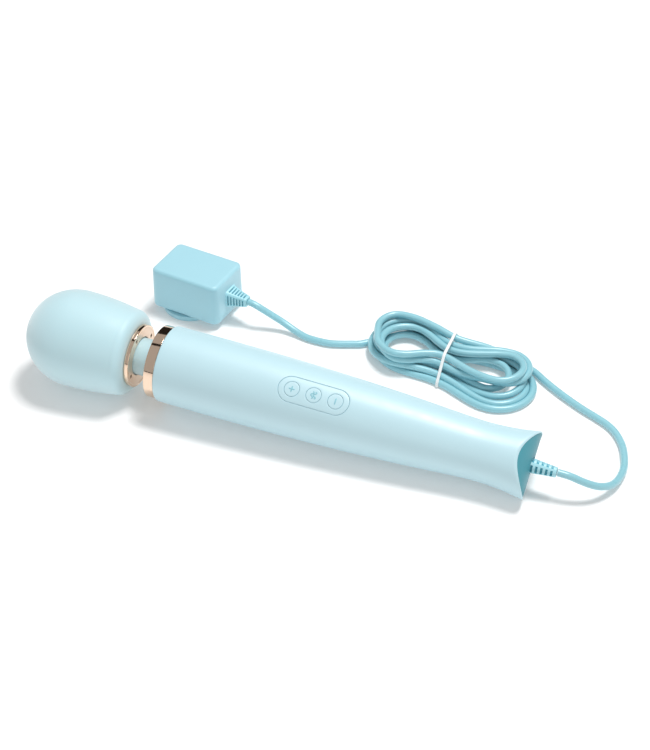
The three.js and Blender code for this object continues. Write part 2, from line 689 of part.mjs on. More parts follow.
function adapterStrainRelief() {
  const inside = [[20.1, 0], [20.1, 6], [22.4, 6], [22.4, 4], [26.1, 4], [26.1, 6.3]];
  return turned([...inside, [39.5, 3.1], [39.5, 0]], COARSE).translate(0, 0, ADAPTER_OUTLET_Z);
}

function buildAdapter() {
  onAdapter('adapter_cover', adapterCover(), SHELL);
  onAdapter('adapter_base', adapterBase(), SHELL);
  onAdapter('adapter_plug_socket', plugSocket(), SHELL);
  CONTACT_OFFSETS.forEach((y, i) => {
    const pin = post(2, 0.8, 11.4, 12, SOCKET_CENTRE[0], SOCKET_CENTRE[1] + y);
    onAdapter(`adapter_contact_${i + 1}`, pin, BRASS);
  });
  onAdapter('adapter_board', block(36, 24, 1.4, 0, 0, 12.6), BOARD);
  onAdapter('adapter_transformer', block(16, 15, 13, 2, 2, 20.1), CHIP);
  onAdapter('adapter_capacitor', post(4.8, 13.6, 26, COARSE, -12, -4), CHIP);
  onAdapter('adapter_strain_relief', adapterStrainRelief(), CORD);
}

// ---------------------------------------------------------------- the whole object

buildHead();
buildMotor();
buildNeck();
buildHandle();
buildElectronics();
buildLeadEntry();
buildCord();
buildAdapter();

// The wand stands over the origin: its box without the strain relief is centred on it, and
// its lowest point touches the surface.
const ownBox = new THREE.Box3();
massager.updateMatrixWorld(true);
wandAxis.children.filter((mesh) => mesh.name !== 'handle_strain_relief').forEach((mesh) => {
  ownBox.expandByObject(mesh, true);
});
const centre = ownBox.getCenter(new THREE.Vector3());
wand.position.set(-centre.x, -centre.y, -ownBox.min.z);

export default massager;
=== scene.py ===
"""The looks of a corded wand massager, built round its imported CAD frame.

Points on the wand are in wand millimetres: x from the tip of the head to the tail, y across the
flared tail, z out through the buttons. WAND places them in the frame, in metres. The adapter's
points are in millimetres of its own, placed by ADAPTER. The lead's open stretches are laid out in
metres, its hank in millimetres on a plan of its own.
"""

import json
import math

import bmesh
import bpy
import numpy as np
from mathutils import Matrix, Vector


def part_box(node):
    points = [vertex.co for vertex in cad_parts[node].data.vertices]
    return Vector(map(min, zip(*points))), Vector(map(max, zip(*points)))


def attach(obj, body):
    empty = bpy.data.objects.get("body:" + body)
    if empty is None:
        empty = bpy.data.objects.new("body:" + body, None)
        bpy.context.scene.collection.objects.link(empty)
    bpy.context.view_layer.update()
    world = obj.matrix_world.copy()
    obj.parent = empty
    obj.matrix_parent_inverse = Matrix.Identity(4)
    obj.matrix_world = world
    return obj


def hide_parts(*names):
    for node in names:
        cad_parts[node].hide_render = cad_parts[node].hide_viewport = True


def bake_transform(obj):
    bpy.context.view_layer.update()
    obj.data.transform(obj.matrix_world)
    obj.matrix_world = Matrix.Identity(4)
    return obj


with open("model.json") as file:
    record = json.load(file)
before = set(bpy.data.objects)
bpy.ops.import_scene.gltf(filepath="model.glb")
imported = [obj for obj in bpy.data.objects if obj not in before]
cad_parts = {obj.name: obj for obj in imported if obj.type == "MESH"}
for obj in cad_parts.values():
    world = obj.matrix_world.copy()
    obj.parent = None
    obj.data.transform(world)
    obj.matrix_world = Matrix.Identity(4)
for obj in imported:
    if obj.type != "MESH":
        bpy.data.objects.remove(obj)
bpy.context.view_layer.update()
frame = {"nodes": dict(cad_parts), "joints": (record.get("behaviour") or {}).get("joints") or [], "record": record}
MM = 0.001
TINY = 0.0001

# ---- places from the frame

JOINTS = {joint["name"]: joint for joint in frame["joints"]}
ROTOR_X = 20
ALONG = Vector(JOINTS["rotor_spin"]["axis"]).normalized()
ACROSS = Vector(JOINTS["neck_tilt"]["axis"]).normalized()
OUTWARD = Vector(JOINTS["neck_sway"]["axis"]).normalized()
HEAD_TIP = Vector(JOINTS["rotor_spin"]["pos_m"]) - ALONG * ROTOR_X * MM


def placed(axis_x, axis_y, axis_z, origin):
    """The matrix that takes millimetres on these axes to metres in the frame."""
    columns = [axis * MM for axis in (axis_x, axis_y, axis_z)] + [origin]
    rows = [[column[i] for column in columns] for i in range(3)]
    return Matrix(rows + [[0, 0, 0, 1]])


def middle(node):
    low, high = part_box(node)
    return (low + high) / 2


WAND = placed(ALONG, ACROSS, OUTWARD, HEAD_TIP)

SOCKET_CENTRE = (-5.2, -0.9)
UP = Vector((0, 0, 1))
CONTACTS = [middle("adapter_contact_1"), middle("adapter_contact_2")]
ADAPTER_Y = (CONTACTS[1] - CONTACTS[0]).normalized()
ADAPTER_X = ADAPTER_Y.cross(UP)
SOCKET_PLACE = (CONTACTS[0] + CONTACTS[1]) / 2
SOCKET_PLACE.z = 0
ADAPTER_PLACE = SOCKET_PLACE - (ADAPTER_X * SOCKET_CENTRE[0] + ADAPTER_Y * SOCKET_CENTRE[1]) * MM
ADAPTER = placed(ADAPTER_X, ADAPTER_Y, UP, ADAPTER_PLACE)


def linked(name, data):
    piece = bpy.data.objects.new(name, data)
    bpy.context.collection.objects.link(piece)
    return piece


def facing(piece, direction):
    piece.rotation_mode = "QUATERNION"
    piece.rotation_quaternion = direction.to_track_quat("-Z", "Y")


# ---- camera

VIEW_TARGET = Vector((0.0218, 0.0330, 0.0207))
VIEW_DISTANCE = 1.0473
VIEW_AZIMUTH = math.radians(20.72)
VIEW_ELEVATION = math.radians(39.76)
LENS_MM = 80.18
SENSOR_MM = 36


def add_camera():
    data = bpy.data.cameras.new("camera")
    data.sensor_width = SENSOR_MM
    data.lens = LENS_MM
    data.clip_start = 0.05
    data.clip_end = 50
    camera = linked("camera", data)
    level = math.cos(VIEW_ELEVATION)
    side, front = math.sin(VIEW_AZIMUTH) * level, -math.cos(VIEW_AZIMUTH) * level
    back = Vector((side, front, math.sin(VIEW_ELEVATION)))
    camera.location = VIEW_TARGET + back * VIEW_DISTANCE
    facing(camera, -back)
    bpy.context.scene.camera = camera


add_camera()

# ---- materials


def fill(node, values):
    """Sets a node's inputs by their names, with _ for a space."""
    for name, value in values.items():
        node.inputs[name.replace("_", " ")].default_value = value


class Nodes:
    """A material's node tree, with short calls for the few nodes that the materials use."""

    def __init__(self, name):
        self.material = bpy.data.materials.new(name)
        self.material.use_nodes = True
        self.tree = self.material.node_tree
        self.shader = self.tree.nodes["Principled BSDF"]

    def add(self, kind, **values):
        node = self.tree.nodes.new(kind)
        fill(node, values)
        return node

    def join(self, source, target):
        self.tree.links.new(source, target)

    def noise(self, scale, detail=3.0, distortion=0.0):
        node = self.add("ShaderNodeTexNoise", Scale=scale, Detail=detail, Distortion=distortion)
        self.join(self.add("ShaderNodeTexCoord").outputs["Object"], node.inputs["Vector"])
        return node.outputs["Fac"]

    def roughness(self, noise, low, high):
        """Unevenness of the gloss: the noise's usual reach, spread from low to high."""
        node = self.add("ShaderNodeMapRange", From_Min=0.3, From_Max=0.7, To_Min=low, To_Max=high)
        self.join(noise, node.inputs["Value"])
        self.join(node.outputs["Result"], self.shader.inputs["Roughness"])

    def two_tones(self, factor, first, second):
        """The colour, drifting from the first tone to the second."""
        node = self.add("ShaderNodeMix")
        node.data_type = "RGBA"
        self.join(factor, node.inputs["Factor"])
        colours = [s for s in node.inputs if s.type == "RGBA"]
        colours[0].default_value = (*first, 1)
        colours[1].default_value = (*second, 1)
        result = [s for s in node.outputs if s.type == "RGBA"]
        self.join(result[0], self.shader.inputs["Base Color"])

    def bump(self, *layers):
        """Bumps from (height, strength, distance in metres), each on top of the last."""
        below = None
        for height, strength, distance in layers:
            node = self.add("ShaderNodeBump", Strength=strength, Distance=distance)
            self.join(height, node.inputs["Height"])
            if below is not None:
                self.join(below, node.inputs["Normal"])
            below = node.outputs["Normal"]
        self.join(below, self.shader.inputs["Normal"])

    def set(self, **values):
        fill(self.shader, values)


def tinted(colour, factor):
    return tuple(min(1.0, channel * factor) for channel in colour)


def moulded(name, colour, roughness, grain=0.25, variation=0.04, **finish):
    """Moulded plastic or rubber: a fine moulding grain, soft tone drift and uneven gloss."""
    nodes = Nodes(name)
    nodes.two_tones(nodes.noise(28, 4), tinted(colour, 1 - variation), tinted(colour, 1 + variation))
    nodes.roughness(nodes.noise(160, 5), roughness - 0.04, roughness + 0.05)
    nodes.bump((nodes.noise(95, 2), 0.08, 0.0004), (nodes.noise(3200, 2), grain, 0.00003))
    nodes.set(**finish)
    return nodes.material


PALE_BLUE = (0.55, 0.78, 0.85)
SOFT_COAT = {"Coat_Weight": 0.3, "Coat_Roughness": 0.42, "Specular_IOR_Level": 0.6}


def silicone():
    sheen = {"Sheen_Weight": 0.5, "Sheen_Roughness": 0.6, "Specular_IOR_Level": 0.6}
    depth = {"Subsurface_Weight": 0.12, "Subsurface_Scale": 0.002, "Subsurface_Radius": (0.6, 0.9, 1.0)}
    return moulded("silicone", (0.53, 0.77, 0.83), 0.5, grain=0.4, variation=0.02, **sheen, **depth)


def pearl_paint():
    """Satin paint under a soft coat."""
    return moulded("pearl_paint", PALE_BLUE, 0.4, grain=0.12, variation=0.02, **SOFT_COAT)


def button_plastic():
    return moulded("button_plastic", PALE_BLUE, 0.4, grain=0.15, variation=0.02, **SOFT_COAT)


def icon_plastic():
    return moulded("icon_plastic", (0.30, 0.60, 0.68), 0.4, grain=0.15, variation=0.03)


# Darker than the handle's paint: painted shade, for the end that faces away from the light.
def tail_plastic():
    return moulded("tail_plastic", (0.07, 0.33, 0.40), 0.42, grain=0.3, variation=0.03)


def adapter_plastic():
    sheen = {"Sheen_Weight": 0.4, "Sheen_Roughness": 0.5, "Specular_IOR_Level": 0.7}
    return moulded("adapter_plastic", (0.38, 0.69, 0.79), 0.42, grain=0.5, variation=0.02, **sheen)


def relief_rubber():
    return moulded("relief_rubber", (0.40, 0.73, 0.81), 0.42, grain=0.25, variation=0.03)


def slot_rubber_painted_shade():
    """The same rubber inside the slots, darker: painted shade for the hollows of the slots."""
    return moulded("slot_rubber_painted_shade", (0.09, 0.42, 0.52), 0.6, grain=0.25, variation=0.03)


def lead_sheath():
    """Softly glossy, with a slight unevenness of tone."""
    coat = {"Coat_Weight": 0.45, "Coat_Roughness": 0.3}
    return moulded("lead_sheath", (0.30, 0.61, 0.69), 0.3, grain=0.2, variation=0.05, **coat)


def tie_plastic():
    return moulded("tie_plastic", (0.88, 0.89, 0.89), 0.38, grain=0.2, variation=0.03)


def metal(name, tones, drift, gloss_noise, gloss, marks, strength):
    nodes = Nodes(name)
    nodes.two_tones(nodes.noise(drift, 4), *tones)
    nodes.roughness(nodes.noise(*gloss_noise), *gloss)
    nodes.bump((nodes.noise(*marks), strength, 0.00002))
    nodes.set(Metallic=1.0)
    return nodes.material


def rose_gold():
    """Polished plating with the faintest polishing marks."""
    tones = ((0.84, 0.62, 0.46), (0.91, 0.72, 0.57))
    return metal("rose_gold", tones, 40, (420, 6, 1.5), (0.05, 0.11), (900, 4), 0.03)


def satin_gold():
    """The same gold, brushed, on the head ring's face."""
    tones = ((0.80, 0.60, 0.46), (0.88, 0.70, 0.57))
    return metal("satin_gold", tones, 60, (700, 6), (0.28, 0.42), (5200, 3), 0.3)


def plain_metal(name, colour, roughness):
    tones = (tinted(colour, 0.9), tinted(colour, 1.08))
    return metal(name, tones, 90, (900, 6), (roughness - 0.06, roughness + 0.1), (2600, 4), 0.15)


SILICONE = silicone()
PEARL = pearl_paint()
BUTTON = button_plastic()
ICON = icon_plastic()
TAIL_PAINTED_SHADE = tail_plastic()
ADAPTER_BODY = adapter_plastic()
RELIEF = relief_rubber()
SLOT_PAINTED_SHADE = slot_rubber_painted_shade()
LEAD = lead_sheath()
TIE = tie_plastic()
GOLD = rose_gold()
GOLD_FACE = satin_gold()
DARK_STEEL = plain_metal("dark_steel", (0.16, 0.13, 0.11), 0.35)
INSIDE = {
    "steel": plain_metal("plain_steel", (0.55, 0.56, 0.57), 0.3),
    "brass": plain_metal("plain_brass", (0.72, 0.55, 0.24), 0.3),
    "inner_rubber": moulded("black_rubber", (0.03, 0.03, 0.033), 0.6),
    "circuit_board": moulded("solder_mask", (0.03, 0.16, 0.08), 0.4, variation=0.15),
    "component_black": moulded("component_black", (0.02, 0.02, 0.022), 0.45),
    "inner_nylon": moulded("grey_nylon", (0.62, 0.64, 0.64), 0.5),
    "cord_sheath": LEAD,
}

# ---- mesh helpers


class Shape:
    """Points and faces of one mesh, gathered loop by loop."""

    def __init__(self):
        self.points = []
        self.faces = []
        self.kinds = []

    def loop(self, points):
        start = len(self.points)
        self.points.extend(points)
        return list(range(start, len(self.points)))

    def strip(self, first, second, closed=True, kind=0):
        """Quads between two rows of point numbers."""
        count = len(first)
        for i in range(count if closed else count - 1):
            j = (i + 1) % count
            self.face((first[i], first[j], second[j], second[i]), kind)

    def face(self, corners, kind=0):
        self.faces.append(corners)
        self.kinds.append(kind)

    def onward(self, last, points):
        """A further row, joined to the last one: its point numbers."""
        numbered = self.loop(points)
        self.strip(last, numbered)
        return numbered

    def rows(self, rows, closed=True, kind=0):
        numbers = [self.loop(row) for row in rows]
        for first, second in zip(numbers, numbers[1:]):
            self.strip(first, second, closed, kind)
        return numbers

    def piece(self, name, materials, place=None, sharp=40):
        """The Blender object of this shape, with its points welded and its faces turned outward."""
        mesh = bpy.data.meshes.new(name)
        spots = [place @ Vector(p) for p in self.points] if place else self.points
        mesh.from_pydata(spots, [], self.faces)
        for material in materials:
            mesh.materials.append(material)
        mesh.polygons.foreach_set("material_index", self.kinds)
        welded = bmesh.new()
        welded.from_mesh(mesh)
        bmesh.ops.remove_doubles(welded, verts=welded.verts, dist=2e-6)
        bmesh.ops.recalc_face_normals(welded, faces=welded.faces)
        welded.to_mesh(mesh)
        welded.free()
        mesh.polygons.foreach_set("use_smooth", [True] * len(mesh.polygons))
        mesh.set_sharp_from_angle(angle=math.radians(sharp))
        return linked(name, mesh)


def eased(corners, steps=5):
    """An outline through (a, b, ease) corners, each rounded off over its ease."""
    out = []
    for i, (a, b, ease) in enumerate(corners):
        here = Vector((a, b))
        if ease == 0 or i in (0, len(corners) - 1):
            out.append((a, b))
            continue
        before = Vector(corners[i - 1][:2])
        after = Vector(corners[i + 1][:2])
        start = here + (before - here).normalized() * ease
        end = here + (after - here).normalized() * ease
        for step in range(steps + 1):
            t = step / steps
            point = start * (1 - t) ** 2 + here * 2 * t * (1 - t) + end * t**2
            out.append(tuple(point))
    return out


def circle(sides):
    return [2 * math.pi * i / sides for i in range(sides)]


def quarter_turn(first, steps):
    """The sine and cosine at each step of a quarter turn."""
    angles = [step / steps * math.pi / 2 for step in range(first, steps + 1)]
    return [(math.sin(a), math.cos(a)) for a in angles]


def hoop(x, radius, sides, y=0.0, z=0.0):
    """Points all round a line that runs along x."""
    return [(x, y + radius * math.cos(a), z + radius * math.sin(a)) for a in circle(sides)]


def turned(profile, sides=128, kinds=None):
    """A closed shape turned round the x axis from (x, radius) points."""
    shape = Shape()
    rows = [hoop(x, r, sides) for x, r in profile]
    numbers = [shape.loop(row) for row in rows]
    for i, (first, second) in enumerate(zip(numbers, numbers[1:])):
        shape.strip(first, second, kind=kinds(*profile[i], *profile[i + 1]) if kinds else 0)
    if profile[0][1] > 0:
        shape.strip(numbers[-1], numbers[0])
    return shape


def turned_up(profile, sides=128):
    """The same, turned round the z axis from (z, radius) points."""
    shape = turned(profile, sides)
    shape.points = [(y, z, x) for x, y, z in shape.points]
    return shape


def finished(piece, body, slot, *nodes):
    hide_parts(*nodes)
    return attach(piece, body)


def spline(stations):
    """A smooth function through (x, value) stations."""
    xs = np.array([x for x, _ in stations], float)
    values = np.array([v for _, v in stations], float)
    slopes = np.gradient(values, xs)

    def value(x):
        i = int(np.clip(np.searchsorted(xs, x) - 1, 0, len(xs) - 2))
        width = xs[i + 1] - xs[i]
        t = min(max((x - xs[i]) / width, 0.0), 1.0)
        rise = values[i + 1] - values[i]
        bend = slopes[i] * width * t * (1 - t) ** 2 - slopes[i + 1] * width * t * t * (1 - t)
        return float(values[i] + rise * t * t * (3 - 2 * t) + bend)

    return value


def ease_in_out(t):
    t = min(max(t, 0.0), 1.0)
    return t * t * (3 - 2 * t)


def smooth_line(points, step):
    """A finer line through the points, on one smooth curve, with points about a step apart."""
    p = np.array(points, float)
    p = np.vstack([2 * p[0] - p[1], p, 2 * p[-1] - p[-2]])
    out = []
    for a, b, c, d in zip(p, p[1:], p[2:], p[3:]):
        count = max(1, int(round(np.linalg.norm(c - b) / step)))
        t = np.arange(count)[:, None] / count
        square = (2 * a - 5 * b + 4 * c - d) * t**2
        cube = (3 * b - a - 3 * c + d) * t**3
        out.append(0.5 * (2 * b + (c - a) * t + square + cube))
    return np.vstack(out + [p[-2:-1]])


# ---- the lead and its hank

CORD_RADIUS = 0.0023
CORD_DIAMETER = 2 * CORD_RADIUS

# The route of the lead where it isn't coiled, in metres: from the handle's strain relief to the
# hank, and from the adapter's.
HANDLE_LEAD = [
    (0.1806, 0, 0.0185), (0.1845, 0, 0.0183), (0.1891, 0.0004, 0.0174),
    (0.1979, 0.0024, 0.0135), (0.2052, 0.0070, 0.0092), (0.2109, 0.0152, 0.0053),
    (0.2135, 0.0258, 0.0030), (0.2137, 0.0363, 0.0024), (0.2117, 0.0456, 0.0024),
    (0.2081, 0.0553, 0.0024), (0.2023, 0.0642, 0.0024), (0.1953, 0.0704, 0.0024),
    (0.1869, 0.0749, 0.0024), (0.1769, 0.0796, 0.0024), (0.1659, 0.0856, 0.0024),
    (0.1559, 0.0917, 0.0024), (0.1478, 0.0972, 0.0024),
]
ADAPTER_LEAD = [
    (-0.0536, 0.0889, 0.0182), (-0.0496, 0.0884, 0.0177), (-0.0456, 0.0882, 0.0162),
    (-0.0378, 0.0892, 0.0116), (-0.0290, 0.0896, 0.0070), (-0.0201, 0.0879, 0.0038),
    (-0.0109, 0.0856, 0.0024), (-0.0027, 0.0849, 0.0024), (0.0055, 0.0853, 0.0024),
    (0.0127, 0.0873, 0.0024), (0.0195, 0.0899, 0.0024), (0.0251, 0.0922, 0.0024),
]

HANK_YAW = math.radians(-9)
HANK_MIDDLE = middle("cord_hank")
TURN_STEPS = 32
WAIST_U = -3
# One row for each turn of the hank, in millimetres on the hank's own plan (u to the right end, v to
# the back): reach to the left and right end, distance out at the back (left lobe, waist, right
# lobe), at the front (right lobe, waist, left lobe), and height at the left end, along the back,
# at the right end and along the front, before it settles.
TURNS = [
    (57, 56.5, 25, 15.5, 19, 25, 17.5, 20, 2.4, 2.4, 2.4, 2.4),
    (52, 53, 21, 10.8, 15, 21, 12.8, 16, 7, 2.4, 5, 2.4),
    (54, 50, 23, 13.4, 19, 16, 15.2, 19, 6.8, 6.8, 7.5, 6.8),
    (47.5, 39, 15, 6.2, 16, 13.5, 8, 15.5, 8, 6.6, 7.5, 6.6),
    (53, 49.5, 20, 11, 23, 6.5, 11.5, 19, 11, 11, 12, 11),
    (49, 48, 16, 6.8, 19, 11, 6, 21, 13.5, 14.5, 15, 14.5),
]


def on_hank(u, v, z):
    """A point of the hank's own plan, in millimetres, as a place in the frame."""
    x = u * math.cos(HANK_YAW) - v * math.sin(HANK_YAW)
    y = u * math.sin(HANK_YAW) + v * math.cos(HANK_YAW)
    return (HANK_MIDDLE.x + x * MM, HANK_MIDDLE.y + y * MM, z * MM)


def pinched(u, lobe, waist, from_u, to_u):
    """How far out a run is at u: as far as its lobes, but drawn in at the waist by the tie."""
    end = to_u if u > WAIST_U else from_u
    share = min(1, abs((u - WAIST_U) / (end - WAIST_U)))
    return lobe + (waist - lobe) * math.cos(math.pi / 2 * share) ** 2


def turn_point(turn, share):
    """The point at a share of the way round a turn, clockwise from its left end."""
    left, right, left_back, waist_back, right_back, right_front, waist_front, left_front = turn[:8]
    z_left, z_back, z_right, z_front = turn[8:]
    left_round = (left_back + left_front) / 2
    right_round = (right_back + right_front) / 2
    start = left_round - left
    end = right - right_round
    quarter = share * 4
    if quarter < 0.5 or quarter >= 3.5:
        angle = math.pi * (1 - quarter if quarter < 0.5 else 5 - quarter)
        u = start + left_round * math.cos(angle)
        v = (left_back - left_front) / 2 + left_round * math.sin(angle)
    elif quarter < 1.5:
        along = quarter - 0.5
        lobe = left_back + (right_back - left_back) * ease_in_out(along)
        u = start + (end - start) * along
        v = pinched(u, lobe, waist_back, start, end)
    elif quarter < 2.5:
        angle = math.pi * (2 - quarter)
        u = end + right_round * math.cos(angle)
        v = (right_back - right_front) / 2 + right_round * math.sin(angle)
    else:
        along = quarter - 2.5
        lobe = right_front + (left_front - right_front) * ease_in_out(along)
        u = end + (start - end) * along
        v = -pinched(u, lobe, waist_front, start, end)
    wave = math.sin(2 * math.pi * share)
    z_end = z_left if math.cos(2 * math.pi * share) > 0 else z_right
    z_side = z_back if wave > 0 else z_front
    return u, v, z_end + (z_side - z_end) * wave**2


def hank_turns():
    """The hank's turns, clockwise from the left end, each easing into the next."""
    points = []
    for turn, following in zip(TURNS, TURNS[1:] + TURNS[-1:]):
        for step in range(TURN_STEPS):
            share = step / TURN_STEPS
            mix = ease_in_out((share - 0.55) / 0.45)
            here = [a + (b - a) * mix for a, b in zip(turn, following)]
            points.append(on_hank(*turn_point(here, share)))
    return points


# Where the lead enters the first turn, the points of that turn that it takes the place of, and its
# last run over the others, on the hank's plan.
ENTRY = [(-52, 1, 2.4), (-43, 10, 2.4), (-33, 17, 2.4)]
ENTRY_STEPS = 8
LEAVING = [
    (-53.5, 4, 14), (-49, 15, 15), (-36, 18, 16), (-20, 16.5, 16),
    (-3, 14, 15), (16, 18, 12), (33, 22.5, 6), (48, 21.5, 2.4),
]


def whole_lead():
    """Every point of the lead before it settles, from the adapter to the handle."""
    entry = [on_hank(*point) for point in ENTRY]
    leaving = [on_hank(*point) for point in LEAVING]
    route = ADAPTER_LEAD + entry + hank_turns()[ENTRY_STEPS:] + leaving + HANDLE_LEAD[::-1]
    return smooth_line(route, 0.003)


# Points held still at each end, rounds of settling, the metres that a turn sinks in a round, the
# share of the rounds in which it sinks, and how strongly the lead evens out and keeps its plan.
ADAPTER_END_HELD = 27
HANDLE_END_HELD = 40
SETTLE_ROUNDS = 420
SINK = 0.00003
SINKING_SHARE = 0.7
STIFFNESS = 0.5
HOLD = 0.01
FLOOR_GAP = 0.0001


def near_pairs(p, loose, reach):
    """Pairs of the lead's points that lie within reach, but aren't neighbours along it."""
    apart = p[:, None, :] - p[None, :, :]
    first, second = np.nonzero(np.triu((apart**2).sum(2) < reach**2, 5))
    keep = loose[first] | loose[second]
    return first[keep], second[keep]


def parted(p, first, second):
    """How far each point moves so that no pair is closer than the lead is thick."""
    away = p[first] - p[second]
    size = np.linalg.norm(away, axis=1, keepdims=True)
    deep = np.clip(CORD_DIAMETER * 1.01 - size, 0, None)
    push = away / np.maximum(size, 1e-7) * deep * 0.8
    moved = np.zeros_like(p)
    hits = np.zeros((len(p), 1))
    for ends, way in ((first, push), (second, -push)):
        np.add.at(moved, ends, way)
        np.add.at(hits, ends, (deep > 0).astype(float))
    return moved / np.maximum(hits, 1)


def settled(line):
    """The lead lying in its hank: each turn sinks until it rests on the floor or on another."""
    p = line.copy()
    loose = np.ones(len(p), bool)
    loose[:ADAPTER_END_HELD] = False
    loose[-HANDLE_END_HELD:] = False
    weight = loose.astype(float)[:, None]
    for turn in range(SETTLE_ROUNDS):
        if turn < SETTLE_ROUNDS * SINKING_SHARE:
            p[:, 2:] -= SINK * weight
        first, second = near_pairs(p, loose, CORD_DIAMETER * 1.4)
        for _ in range(3):
            p += parted(p, first, second) * weight
            shift = p - line
            p[1:-1] += ((shift[:-2] + shift[2:]) / 2 - shift[1:-1]) * STIFFNESS * weight[1:-1]
            p[:, 2] = np.maximum(p[:, 2], CORD_RADIUS + FLOOR_GAP)
        p[:, :2] += (line[:, :2] - p[:, :2]) * HOLD * weight
    return p


def add_lead(line):
    data = bpy.data.curves.new("power_lead", "CURVE")
    data.dimensions = "3D"
    data.bevel_depth = CORD_RADIUS
    data.bevel_resolution = 6
    data.use_fill_caps = True
    path = data.splines.new("POLY")
    path.points.add(len(line) - 1)
    for point, place in zip(path.points, line):
        point.co = (*place, 1)
    path.use_smooth = True
    data.materials.append(LEAD)
    nodes = ("cord_handle_lead", "cord_hank", "cord_adapter_lead")
    return finished(linked("power_lead", data), "handle", "cord_sheath", *nodes)


LEAD_LINE = smooth_line(settled(whole_lead()), 0.0015)
lead = add_lead(LEAD_LINE)

# ---- the hank's tie

TIE_MIDDLE = Vector((middle("hank_tie").x, HANK_MIDDLE.y, 0))
TIE_HALF_WIDTH = 1.0 * MM
TIE_THICKNESS = 1.0 * MM
TIE_SPACE = 0.6 * MM
TIE_LOWEST = 0.1 * MM
TIE_POINTS = 160
ACROSS_HANK = Vector((0, 1, 0))
ALONG_HANK = ACROSS_HANK.cross(UP)


def hull(points):
    """The corners of the tight outline round (a, b) points, in order."""
    points = sorted(set(points))

    def half(run):
        out = []
        for p in run:
            while len(out) > 1:
                a = (out[-1][0] - out[-2][0], out[-1][1] - out[-2][1])
                b = (p[0] - out[-2][0], p[1] - out[-2][1])
                if a[0] * b[1] - a[1] * b[0] > 0:
                    break
                out.pop()
            out.append(p)
        return out[:-1]

    return half(points) + half(points[::-1])


def tie_outline(line):
    """Where a tight band round the lead's runs goes, in its own plane: (across, up) points."""
    spots = [Vector(p) - TIE_MIDDLE for p in line]
    near = [s for s in spots if abs(s.dot(ALONG_HANK)) < 0.002 and abs(s.dot(ACROSS_HANK)) < 0.04]
    reach = CORD_RADIUS + TIE_SPACE
    points = []
    for spot in near:
        for a in circle(24):
            up = max(spot.z + reach * math.sin(a), TIE_SPACE)
            points.append((round(spot.dot(ACROSS_HANK) + reach * math.cos(a), 6), round(up, 6)))
    return hull(points)


def rounded_off(value):
    """A cosine or sine, squared off so that the tie is nearly flat."""
    return math.copysign(abs(value) ** 0.6, value)


def add_tie(line):
    shape = Shape()
    outline = np.array(tie_outline(line))
    closed = np.vstack([outline, outline[:1]])
    along = np.concatenate([[0], np.cumsum(np.linalg.norm(np.diff(closed, axis=0), axis=1))])
    at = np.linspace(0, along[-1], TIE_POINTS + 1)[:-1]
    path = np.stack([np.interp(at, along, closed[:, k]) for k in range(2)], 1)
    for _ in range(6):
        path = (np.roll(path, 1, 0) + 2 * path + np.roll(path, -1, 0)) / 4
    tangent = np.roll(path, -1, 0) - np.roll(path, 1, 0)
    tangent /= np.linalg.norm(tangent, axis=1)[:, None]
    outward = np.stack([tangent[:, 1], -tangent[:, 0]], 1)
    rows = []
    for a in circle(14):
        base = TIE_MIDDLE + ALONG_HANK * TIE_HALF_WIDTH * rounded_off(math.cos(a))
        flat = path + outward * TIE_THICKNESS / 2 * rounded_off(math.sin(a))
        rows.append([tuple(base + ACROSS_HANK * p[0] + UP * max(p[1], TIE_LOWEST)) for p in flat])
    shape.rows(rows + rows[:1])
    return finished(shape.piece("hank_wire_tie", [TIE]), "handle", "tie", "hank_tie")


tie = add_tie(LEAD_LINE)

# ---- head, rings and neck

HEAD_RADIUS = 31
HEAD_WIDEST_X = 32.7
HEAD_RIM_X = 67.6
HEAD_RIM_RADIUS = 27.8
HEAD_BACK_X = 73.9
HEAD_BACK_RADIUS = 20.4
HEAD_SKIN = 3


def head_outline(inset, steps):
    """The head's outline from its tip to its rim, moved in by an inset."""
    points = []
    for s, c in quarter_turn(0, steps):
        points.append((HEAD_WIDEST_X - (HEAD_WIDEST_X - inset) * c, (HEAD_RADIUS - inset) * s))
    for step in range(1, steps // 2 + 1):
        along = step / (steps // 2)
        radius = HEAD_RADIUS - inset - (HEAD_RADIUS - HEAD_RIM_RADIUS) * along**2
        points.append((HEAD_WIDEST_X + (HEAD_RIM_X - HEAD_WIDEST_X) * along, radius))
    return points


def add_head():
    shoulder = []
    for s, c in quarter_turn(1, 14):
        radius = HEAD_BACK_RADIUS + (HEAD_RIM_RADIUS - HEAD_BACK_RADIUS) * c
        shoulder.append((HEAD_RIM_X + (HEAD_BACK_X - HEAD_RIM_X) * s, radius))
    lip = eased([(73.9, 20.0, 0), (73.9, 19.1, 0.4), (70.4, 19.1, 0), (70.4, 22.8, 0)])
    profile = head_outline(0, 44) + shoulder + lip + head_outline(HEAD_SKIN, 22)[::-1]
    piece = turned(profile, 160).piece("head_silicone_cap", [SILICONE], WAND)
    finished(piece, "head", "head_silicone", "head_cap")


RING_FRONT_X = 74.2
RING_BACK_X = 77.1
RING_RADIUS = 20.2
RING_HOLE = 12.6
RING_SCREW_CIRCLE = 16
RING_SCREW_FIRST = math.radians(75)
SCREW_SIDES = 24
SCREW_SLOT_DEPTH = 0.35


def screw_places():
    for turn in range(4):
        angle = RING_SCREW_FIRST + turn * math.pi / 2
        yield RING_SCREW_CIRCLE * math.cos(angle), RING_SCREW_CIRCLE * math.sin(angle)


def cut(piece, cutter):
    """piece less cutter, which is removed."""
    change = piece.modifiers.new("cut", "BOOLEAN")
    change.operation = "DIFFERENCE"
    change.solver = "EXACT"
    change.object = cutter
    view = bpy.context.evaluated_depsgraph_get()
    piece.data = bpy.data.meshes.new_from_object(piece.evaluated_get(view))
    piece.modifiers.clear()
    bpy.data.objects.remove(cutter)
    piece.data.set_sharp_from_angle(angle=math.radians(30))
    return piece


